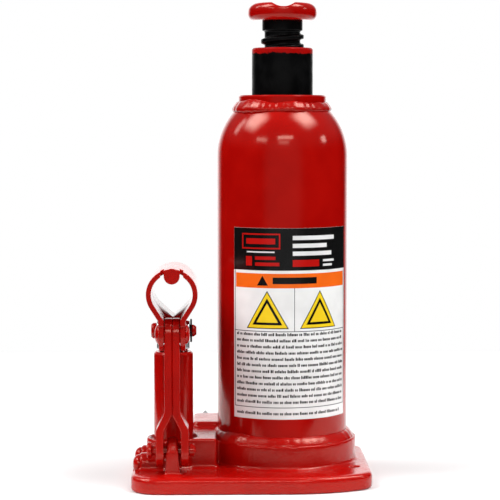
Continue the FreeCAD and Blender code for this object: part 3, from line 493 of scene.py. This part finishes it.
printed("label_band_marks", [
    triangle(-17.5, band_low + 1.3, band_high - 1.1),
    block(-12.0, 12.0, band_low + 2.2, band_high - 2.0)], 1, black_ink)
text_rows = [42.9 + 3.25 * row for row in range(12)]
printed("label_small_print", small_print(-edge + 2.2, edge - 2.0, text_rows), 0, black_ink)
printed("label_foot_print", small_print(-edge + 2.2, edge - 6, [36.9]), 0, black_ink)

printed("label_headings", [
    block(-1.5, 24.0, 129.0, 131.2),
    block(-1.5, 18.5, 124.9, 127.1),
    block(-1.5, 22.0, 120.8, 123.0)], 1, white_ink)
printed("label_header_frames", [
    block(-29.5, -8.0, 124.2, 132.4),
    block(-1.5, 13.5, 115.0, 118.6)], 1, red_ink)
printed("label_header_wells", [block(-28.7, -8.8, 125.0, 131.6)], 2, black_ink)
printed("label_header_bars", [
    block(-26.8, -10.7, 126.8, 129.8),
    block(-27.0, -23.4, 115.4, 120.4),
    block(-21.6, -10.5, 118.6, 120.4),
    block(-21.6, -8.5, 115.4, 117.2)], 3, red_ink)
printed("label_header_notes", [
    block(-26.5, -11.0, 122.3, 123.0),
    block(16.0, 24.0, 117.4, 118.6),
    block(16.0, 22.5, 115.0, 116.2)], 1, white_ink)


# ---------------------------------------------------------------- stage, light and camera

def aimed(piece, place, target):
    """Put an object at a place in metres, looking at a target."""
    piece.location = place
    piece.rotation_mode = "QUATERNION"
    piece.rotation_quaternion = (Vector(target) - Vector(place)).to_track_quat("-Z", "Y")
    bpy.context.scene.collection.objects.link(piece)
    return piece


def floor():
    """A plain white table top."""
    front, side, back = -0.14, 0.26, 0.5
    mesh = bpy.data.meshes.new("floor")
    mesh.from_pydata(
        [(-side, front, 0), (side, front, 0), (side, back, 0), (-side, back, 0)], [], [(0, 1, 2, 3)])
    white = finish("floor_white", Roughness=0.7)
    feed(white, shader_of(white).inputs["Base Color"],
         tint(white, clouds(white, 400), (0.84, 0.84, 0.84, 1), (0.86, 0.86, 0.86, 1)))
    mesh.materials.append(white)
    plane = bpy.data.objects.new("floor", mesh)
    bpy.context.scene.collection.objects.link(plane)


def calculate(world, operation, first, second=0.0):
    """The output of a maths node."""
    block = add(world, "ShaderNodeMath", {"operation": operation})
    feed(world, block.inputs[0], first)
    feed(world, block.inputs[1], second)
    return block.outputs["Value"]


def panel(world, way, aim, half_wide, half_tall, soft, strength):
    """The light from a soft-edged panel far away in a direction. Its sizes are in degrees."""
    aim = Vector(aim).normalized()
    right = aim.cross((0, 0, 1)).normalized()
    along = []
    for axis in (aim, right, right.cross(aim)):
        dot = add(world, "ShaderNodeVectorMath", {"operation": "DOT_PRODUCT"})
        feed(world, dot.inputs[0], way)
        feed(world, dot.inputs[1], axis)
        along.append(dot.outputs["Value"])
    ahead = calculate(world, "MAXIMUM", along[0], 0.001)
    lit = calculate(world, "MULTIPLY", calculate(world, "GREATER_THAN", along[0], 0.0), strength)
    for across, half in ((along[1], half_wide), (along[2], half_tall)):
        reach = calculate(world, "ABSOLUTE", calculate(world, "DIVIDE", across, ahead))
        fall = add(world, "ShaderNodeMapRange", {"interpolation_type": "SMOOTHSTEP"}, Value=reach,
                   From_Min=math.tan(math.radians(half - soft)),
                   From_Max=math.tan(math.radians(half + soft)), To_Min=1.0, To_Max=0.0)
        lit = calculate(world, "MULTIPLY", lit, fall.outputs["Result"])
    return lit


# Light that grows along an axis of the studio: the axis, where on it the light starts, where it
# is full, and its strength.
GLOWS = (
    ("Y", 0.74, 0.97, 1.5),  # the white sheet behind the object
    ("Y", -0.75, -0.95, 0.25),  # the dim wall in front of it
    ("Z", 0.1, 0.5, 0.2),  # the ceiling
    ("Z", -0.22, -0.5, 1.4),  # light thrown up from below
)

# Soft-edged panels: the way to each, half its width, half its height, its edge and its strength.
PANELS = (
    ((-0.60, -0.10, 0.79), 12, 13, 8, 13.0),  # large, overhead at the left
    ((0.50, -0.16, 0.85), 12, 12, 8, 14.0),  # large, overhead at the right
    ((0.06, -0.84, 0.55), 13, 2.8, 1.5, 9.0),  # a strip high at the front
    ((0.02, -0.91, 0.42), 9, 3, 2.5, 3.5),  # a dimmer one below it
    ((-0.60, -0.66, 0.457), 9, 3, 2, 7.0),  # a strip at the front left
    ((0.92, -0.114, 0.37), 5, 4, 1.5, 9.0),  # small, at the right
    ((-0.80, 0.26, 0.548), 4.5, 9, 2.5, 5.0),  # tall, at the far left
)


def surroundings():
    """A dark studio with soft overhead lights and a white sheet behind the object.

    The background itself is plain white to the camera.
    """
    world = bpy.data.worlds.new("studio")
    world.use_nodes = True
    bpy.context.scene.world = world
    way = add(world, "ShaderNodeTexCoord").outputs["Generated"]
    parts = add(world, "ShaderNodeSeparateXYZ", Vector=way).outputs
    lit = 0.0
    for axis, near, far, strength in GLOWS:
        fall = add(world, "ShaderNodeMapRange", {"interpolation_type": "SMOOTHSTEP"}, Value=parts[axis],
                   From_Min=near, From_Max=far, To_Min=0.0, To_Max=strength)
        lit = calculate(world, "ADD", fall.outputs["Result"], lit)
    for aim, half_wide, half_tall, soft, strength in PANELS:
        lit = calculate(world, "ADD", lit, panel(world, way, aim, half_wide, half_tall, soft, strength))
    studio = world.node_tree.nodes["Background"]
    feed(world, studio.inputs["Color"], (1, 1, 1, 1))
    feed(world, studio.inputs["Strength"], lit)
    plain = add(world, "ShaderNodeBackground", Color=(1, 1, 1, 1))
    choice = add(world, "ShaderNodeMixShader")
    feed(world, choice.inputs[0], add(world, "ShaderNodeLightPath").outputs["Is Camera Ray"])
    feed(world, choice.inputs[1], studio.outputs["Background"])
    feed(world, choice.inputs[2], plain.outputs["Background"])
    feed(world, world.node_tree.nodes["World Output"].inputs["Surface"], choice.outputs["Shader"])


def camera():
    """A long lens a little above the object and a little to the left of the ram."""
    lens = bpy.data.cameras.new("camera")
    lens.lens = 131.2
    lens.sensor_width = 36
    lens.clip_start = 0.05
    lens.clip_end = 50
    place = Vector((-0.0345, -0.9817, 0.1936))
    down, across = math.radians(4.21), math.radians(1.0)
    ahead = Vector((
        math.sin(across) * math.cos(down), math.cos(across) * math.cos(down), -math.sin(down)))
    bpy.context.scene.camera = aimed(bpy.data.objects.new("camera", lens), place, place + ahead)


floor()
surroundings()
camera()
bpy.context.scene.view_settings.view_transform = "Standard"

bpy.context.view_layer.update()
